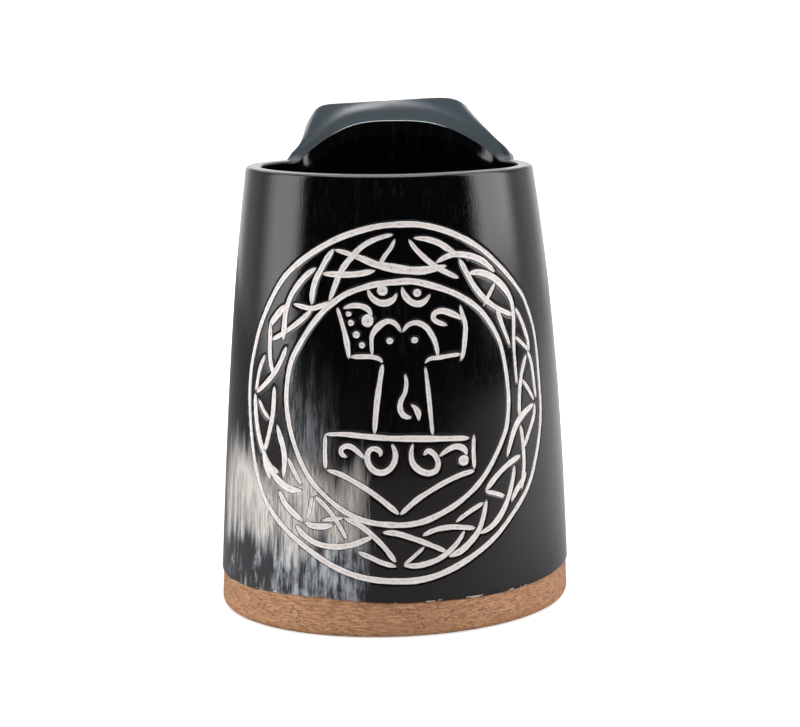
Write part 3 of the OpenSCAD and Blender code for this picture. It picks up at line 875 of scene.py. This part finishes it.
def mapped(tree, scale, vector=None):
    """A vector scaled along each axis. Without one it is the place on the object, in metres."""
    if vector is None:
        vector = node(tree, "ShaderNodeTexCoord").outputs["Object"]
    return node(tree, "ShaderNodeMapping", [("Vector", vector), ("Scale", scale)]).outputs[0]


def parts_of(tree, vector):
    """The x, y and z of a vector."""
    return node(tree, "ShaderNodeSeparateXYZ", [(0, vector)]).outputs


def length_of(tree, vector):
    """The length of a vector."""
    return node(tree, "ShaderNodeVectorMath", [(0, vector)], operation="LENGTH").outputs["Value"]


def noise_at(tree, vector, scale, detail, roughness=0.5):
    """A cloudy noise from 0 to 1."""
    return node(tree, "ShaderNodeTexNoise", [("Vector", vector), ("Scale", scale), ("Detail", detail),
                                             ("Roughness", roughness)]).outputs["Fac"]


def bumped(tree, height, strength, distance):
    """Normals of a surface that is raised by a height."""
    return node(tree, "ShaderNodeBump",
                [("Height", height), ("Strength", strength), ("Distance", distance)]).outputs[0]


# %% Fibre group
fibre = bpy.data.node_groups.new("horn fibre", "ShaderNodeTree")
for name, kind in (("Vector", "Vector"), ("Scale", "Float"), ("Detail", "Float")):
    fibre.interface.new_socket(name, in_out="INPUT", socket_type="NodeSocket" + kind)
for name in ("Streak", "Hair"):
    fibre.interface.new_socket(name, in_out="OUTPUT", socket_type="NodeSocketFloat")
vector, scale, detail = fibre.nodes.new("NodeGroupInput").outputs[:3]
node(fibre, "NodeGroupOutput", [("Streak", noise_at(fibre, vector, scale, detail, 0.62)),
                                ("Hair", noise_at(fibre, vector, times(fibre, scale, 4.3), 3.0, 0.7))])


def fibres(tree, vector, scale, detail):
    """Places the fibre group in a material and returns its broad streaks and fine hairs."""
    return node(tree, "ShaderNodeGroup", [("Vector", vector), ("Scale", scale), ("Detail", detail)],
                node_tree=fibre).outputs


print("fibre group with", len(fibre.nodes), "nodes")

# %% Pale patch of the horn
# It lies low on the left, ragged along the fibres, cream above and blue-grey with dark mottling below.
horn_mat, tree, shader = material("polished horn")
x_mm, y_mm, z_mm = parts_of(tree, mapped(tree, (1000, 1000, 1000)))
streak, hair = fibres(tree, mapped(tree, (1, 1, 0.05)), 560.0, 3.0)
cloud, patchy = fibres(tree, mapped(tree, (1, 1, 0.4)), 75.0, 2.0)
WAVE_AT, WAVE_LONG, WAVE_BY = -26.5, 18.5, 4.0


def wandering(value, *swings):
    """A coordinate in mm pushed about by noises, each given as (noise, push at full swing in mm)."""
    for swing, push in swings:
        value = maths(tree, "ADD", value, times(tree, maths(tree, "SUBTRACT", swing, 0.5), push))
    return value


# its waved upper edge
wave = maths(tree, "COSINE", times(tree, maths(tree, "ADD", x_mm, -WAVE_AT), 2 * np.pi / WAVE_LONG))
waved = maths(tree, "SUBTRACT", z_mm, times(tree, wave, WAVE_BY))
below = ranged(tree, wandering(waved, (streak, 20.0), (hair, 10.0), (cloud, 10.0)), 54.0, 42.0)
# pale wisps above it, inside the rings
in_ring = times(tree, ranged(tree, x_mm, -34.0, -29.0),
                ranged(tree, wandering(x_mm, (cloud, 20.0), (streak, 16.0)), -15.0, -25.0))
wisps = times(tree, ranged(tree, wandering(z_mm, (hair, 34.0), (cloud, 26.0)), 84.0, 60.0), in_ring)
wisps = times(tree, wisps, ranged(tree, wandering(hair, (streak, 1.0)), 0.36, 0.70, 0.03, 0.30))
# its right and its rear edge
leftward = ranged(tree, wandering(x_mm, (cloud, 16.0), (streak, 12.0), (hair, 14.0)), -7.5, -14.5)
slant = maths(tree, "ADD", y_mm, times(tree, z_mm, 0.25))
forward = ranged(tree, wandering(slant, (cloud, 24.0), (streak, 14.0), (hair, 8.0)), -2.0, -11.0)
# how dense it is: nearly whole above, mottled below and thin in the corner
cream_share = ranged(tree, wandering(z_mm, (cloud, 20.0), (streak, 14.0), (hair, 8.0)), 21.0, 30.0)
solid = ranged(tree, wandering(hair, (streak, 1.0), (cloud, 0.8)), 0.30, 0.66, 0.50, 1.0)
corner_dark = ranged(tree, wandering(x_mm, (cloud, 60.0)), -26.0, -38.0)
mottling = wandering(patchy, (streak, 0.6), (hair, 0.4))
mottling = maths(tree, "SUBTRACT", mottling, times(tree, corner_dark, 0.17))
strength = between(tree, cream_share, ranged(tree, mottling, 0.34, 0.72, 0.05, 0.80), solid)
patch = times(tree, times(tree, leftward, forward),
              maths(tree, "MAXIMUM", times(tree, below, strength), wisps), True)
print("nodes of the pale patch:", len(tree.nodes))

# %% Colours of the horn
warm = mixed(tree, ranged(tree, hair, 0.35, 0.65), (0.44, 0.41, 0.37), (0.70, 0.67, 0.63))
warm = mixed(tree, ranged(tree, wandering(x_mm, (cloud, 16.0)), -34.0, -42.0), warm, (0.64, 0.61, 0.57))
pale = mixed(tree, cream_share, (0.56, 0.60, 0.65), warm)
pale = mixed(tree, ranged(tree, z_mm, 50.0, 56.0), pale, (0.50, 0.53, 0.56))
brown = ranged(tree, wandering(z_mm, (cloud, 60.0), (streak, 20.0)), 80.0, 40.0)
dark = mixed(tree, brown, (0.0008, 0.0009, 0.0012), (0.0065, 0.0045, 0.0050))
dark = mixed(tree, ranged(tree, wandering(hair, (streak, 0.5)), 0.50, 0.80), dark, (0.010, 0.008, 0.009))
skin = mixed(tree, patch, dark, pale)


def share_of(name):
    """A share that the mesh keeps."""
    return node(tree, "ShaderNodeAttribute", attribute_name=name).outputs["Fac"]


# painted shade: the horn is darkened where it is cut, as the shadowed walls and edges of the grooves
painted_groove_shade = times(tree, ranged(tree, share_of("groove"), 0.03, 0.35), 0.92)
skin = mixed(tree, painted_groove_shade, skin, (0.010, 0.007, 0.006))
# painted highlight: a pale bluish line along the arch's crisp edge
skin = mixed(tree, ranged(tree, share_of("painted_highlight"), 0.4, 1.0), skin, (0.66, 0.72, 0.76))
# the rim's top painted light grey: partly the matte sanded horn, partly a painted highlight
skin = mixed(tree, share_of("sanded_and_highlight"), skin, (0.13, 0.13, 0.135))
crumb = ranged(tree, noise_at(tree, mapped(tree, (0.4, 0.4, 1)), 700.0, 2.0), 0.60, 0.64)
chips = times(tree, ranged(tree, share_of("sawn"), 0.74, 0.84), crumb)
skin = mixed(tree, chips, skin, (0.55, 0.45, 0.36))
feed(tree, shader, [("Base Color", skin), ("Roughness", ranged(tree, hair, 0.3, 0.75, 0.07, 0.16, "LINEAR")),
                    ("Normal", bumped(tree, hair, 0.15, 0.0002)), ("IOR", 1.54)])
horn.data.materials.append(horn_mat)
print("nodes of the whole horn:", len(tree.nodes))

# %% White paint
paint_mat, tree, shader = material("white paint")
uv = node(tree, "ShaderNodeUVMap", uv_map="stroke").outputs[0]
off_middle = maths(tree, "ABSOLUTE", parts_of(tree, uv)[1])
fleck = noise_at(tree, mapped(tree, (3.0, 0.5, 1), uv), 1.7, 4.0, 0.7)
scratch = times(tree, ranged(tree, off_middle, 0.08, 0.28, 1.0, 0.0), ranged(tree, fleck, 0.57, 0.64), True)
rubbed = times(tree, ranged(tree, off_middle, 0.2, 0.75, 1.0, 0.0),
               ranged(tree, fleck, 0.35, 0.6, 0.2, 0.9), True)
crumbs = noise_at(tree, mapped(tree, (1, 1, 1)), 1100.0, 2.0)
tint = mixed(tree, ranged(tree, crumbs, 0.35, 0.65), (0.82, 0.78, 0.76), (0.90, 0.87, 0.86))
tint = mixed(tree, rubbed, tint, (0.70, 0.60, 0.56))
feed(tree, shader, [("Base Color", mixed(tree, scratch, tint, (0.12, 0.08, 0.07))), ("Roughness", 0.5),
                    ("Normal", bumped(tree, crumbs, 0.15, 0.0003))])
paint.data.materials.append(paint_mat)

# %% Wood and sealant
wood_mat, tree, shader = material("oiled wood")
grain = noise_at(tree, mapped(tree, (0.16, 0.16, 1)), 2300.0, 4.0, 0.65)
bands = noise_at(tree, mapped(tree, (0.3, 0.3, 1)), 230.0, 4.0)
pores = noise_at(tree, mapped(tree, (0.42, 0.42, 1)), 2300.0, 1.5)
tan = mixed(tree, ranged(tree, grain, 0.36, 0.66), (0.31, 0.14, 0.066), (0.60, 0.325, 0.165))
tan = mixed(tree, ranged(tree, bands, 0.4, 0.7, 0.0, 0.5), tan, (0.38, 0.18, 0.085))
in_pore = times(tree, ranged(tree, pores, 0.60, 0.68), 0.75)
feed(tree, shader, [("Base Color", mixed(tree, in_pore, tan, (0.09, 0.04, 0.02))), ("Roughness", 0.6),
                    ("Normal", bumped(tree, pores, 0.25, 0.0002))])
wood.data.materials.append(wood_mat)

seal_mat, tree, shader = material("sealant")
lumps = ranged(tree, noise_at(tree, mapped(tree, (1, 1, 1)), 260.0, 3.0), 0.3, 0.7)
feed(tree, shader, [("Base Color", mixed(tree, lumps, (0.12, 0.06, 0.025), (0.22, 0.12, 0.05))),
                    ("Roughness", 0.35)])
seal.data.materials.append(seal_mat)
print("materials:", [m.name for m in bpy.data.materials])

# %% [markdown]
# ## Light and surround
# Black polished horn shows little but what it mirrors. Two tall soft boxes with narrow strips beside them
# stand left and right, a large one hangs overhead, and a white backdrop behind shows along the edges.
# Towards the camera the room is dark. The world holds the backdrop and the dim room, by direction, and the
# soft boxes are area lamps. A real soft box fades towards its frame, so a ramp dims each at three edges.

# %% Soft boxes
def softbox(name, azimuth, distance, low, high, width, level, fades):
    """Area lamp that faces the cup's axis at an azimuth from the camera's side (-Y) towards +X, in metres
    and degrees. fades gives the shares of the face, from its left, right and lower edge, over which it
    fades in."""
    lamp = bpy.data.lights.new(name, "AREA")
    lamp.shape, lamp.size, lamp.size_y = "RECTANGLE", width, high - low
    lamp.energy = level * np.pi * width * (high - low)
    lamp.use_nodes = True
    tree = lamp.node_tree
    across, upwards, _ = parts_of(tree, node(tree, "ShaderNodeNewGeometry").outputs["Parametric"])
    left, right, foot = fades
    glow = times(tree, ranged(tree, across, 0.0, left), ranged(tree, across, 1.0, 1 - right))
    glow = times(tree, glow, ranged(tree, upwards, 0.0, foot))
    feed(tree, tree.nodes["Emission"], [("Strength", glow)])
    made = placed(name, lamp)
    a = np.radians(azimuth)
    made.location = (distance * np.sin(a), -distance * np.cos(a), (low + high) / 2)
    made.rotation_euler = (np.pi / 2, 0, a)
    made.visible_camera = False
    return made


# name, azimuth, distance, lower and upper edge, width, level, fades
softbox("box_left", -80.8, 0.80, -0.03, 0.75, 0.72, 3.5, (0.55, 0.05, 0.04))
softbox("strip_left", -91, 0.78, 0.05, 0.75, 0.025, 1.6, (0.4, 0.4, 0.3))
softbox("edge_left", -59.2, 0.78, 0.05, 0.75, 0.035, 3.2, (0.4, 0.4, 0.3))
softbox("box_right", 87.8, 0.80, 0.02, 0.85, 0.54, 3.7, (0.04, 0.28, 0.15))
softbox("strip_right", 96.5, 0.78, 0.05, 0.85, 0.06, 2.2, (0.4, 0.4, 0.3))
softbox("edge_right", 72.0, 0.78, 0.05, 0.85, 0.035, 2.6, (0.4, 0.5, 0.3))
for name, azimuth in (("fill_left", -70), ("fill_right", 70)):
    softbox(name, azimuth, 0.9, 0.1, 0.6, 0.5, 1.5, (0.2, 0.2, 0.2)).visible_glossy = False
above = bpy.data.lights.new("box_above", "AREA")
above.shape, above.size, above.size_y, above.energy = "RECTANGLE", 0.7, 0.5, 2.2 * np.pi * 0.35
overhead = placed("box_above", above)
overhead.location = (0, -0.05, 1.0)
overhead.visible_camera = False
print("lamps:", len(bpy.data.lights))

# %% World
world = bpy.data.worlds.new("studio")
bpy.context.scene.world = world
world.use_nodes = True
tree = world.node_tree
tree.nodes.clear()
to_x, to_y, to_z = parts_of(tree, node(tree, "ShaderNodeTexCoord").outputs["Generated"])
backdrop = between(tree, ranged(tree, to_y, 0.7, 0.88), ranged(tree, to_x, -0.5, 0.5, 0.6, 0.7), 1.0)
low_down = ranged(tree, to_z, 0.23, 0.14)
high_up = ranged(tree, to_z, 0.35, 0.8, 0.31, 0.75)
back_level = between(tree, low_down, high_up, backdrop)
mirror = between(tree, ranged(tree, to_y, 0.05, 0.35), 0.02, back_level)
sky = mixed(tree, low_down, (0.80, 0.98, 1.10), (1, 0.99, 1.02))


def background(colour, level):
    """Light from all round, of a colour and level that may follow the direction."""
    return node(tree, "ShaderNodeBackground", [("Color", colour), ("Strength", level)]).outputs[0]


WHITE = (1, 1, 1, 1)
rays = node(tree, "ShaderNodeLightPath").outputs
room = either(tree, rays["Is Glossy Ray"], background(WHITE, 0.45), background(sky, mirror))
seen = maths(tree, "MAXIMUM", rays["Is Camera Ray"], rays["Is Transmission Ray"])
node(tree, "ShaderNodeOutputWorld", [(0, either(tree, seen, room, background(WHITE, 1.0)))])
bpy.context.scene.view_settings.view_transform = "Standard"
print("nodes of the world:", len(tree.nodes))

# %% Floor
# The sheet on the table ends 0.4 m in front of the cup and 0.7 m round it. In what the polished wall
# mirrors, the floor is painted darker on the left, with a painted pool of light to the right and back. From
# below the floor is clear, and so it is right under the foot, so that the underside can be seen and gets
# light.
corners = np.array([[-3000.0, -3000, 0], [3000, -3000, 0], [3000, 3000, 0], [-3000, 3000, 0]])
floor = object_of("floor", corners, np.array([[0, 1, 2, 3]]))
floor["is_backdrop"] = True
floor_mat, tree, shader = material("white floor")
place = mapped(tree, (1, 1, 1))
to_right, to_back, _ = parts_of(tree, place)
away = length_of(tree, place)
rays = node(tree, "ShaderNodeLightPath").outputs
# painted light: for reflections only, the floor is white in a pool to the right and back and darker elsewhere
lit = times(tree, ranged(tree, to_right, -0.05, 0.2), ranged(tree, to_back, -0.2, 0.05))
mirrored = mixed(tree, lit, (0.3, 0.295, 0.3), (1, 1, 1))
glow = times(tree, rays["Is Camera Ray"], ranged(tree, away, 0.08, 0.4, 0.5, 1.0))
feed(tree, shader, [("Base Color", mixed(tree, rays["Is Glossy Ray"], (0.9, 0.9, 0.9), mirrored)),
                    ("Roughness", 0.9), ("Emission Color", WHITE), ("Emission Strength", glow)])
past_sheet = maths(tree, "MAXIMUM", ranged(tree, to_back, -0.33, -0.42), ranged(tree, away, 0.65, 0.75))
past_sheet = times(tree, past_sheet, rays["Is Glossy Ray"])
turned = node(tree, "ShaderNodeVectorRotate", [("Vector", place), ("Angle", -TURN)], rotation_type="Z_AXIS")
foot_long, foot_short = (HALF_LONG[0] * k - STEP_IN - FOOT - 0.1 for k in (1, OVAL))
from_axis = mapped(tree, (1000 / foot_long, 1000 / foot_short, 0), turned.outputs[0])
under_foot = maths(tree, "LESS_THAN", length_of(tree, from_axis), 1.0)
from_below = node(tree, "ShaderNodeNewGeometry").outputs["Backfacing"]
unseen = maths(tree, "MAXIMUM", maths(tree, "MAXIMUM", from_below, past_sheet), under_foot)
clear = node(tree, "ShaderNodeBsdfTransparent").outputs[0]
feed(tree, tree.nodes["Material Output"], [("Surface", either(tree, unseen, shader.outputs[0], clear))])
floor.data.materials.append(floor_mat)

# %% Bounds of the rendered objects
low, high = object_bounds()
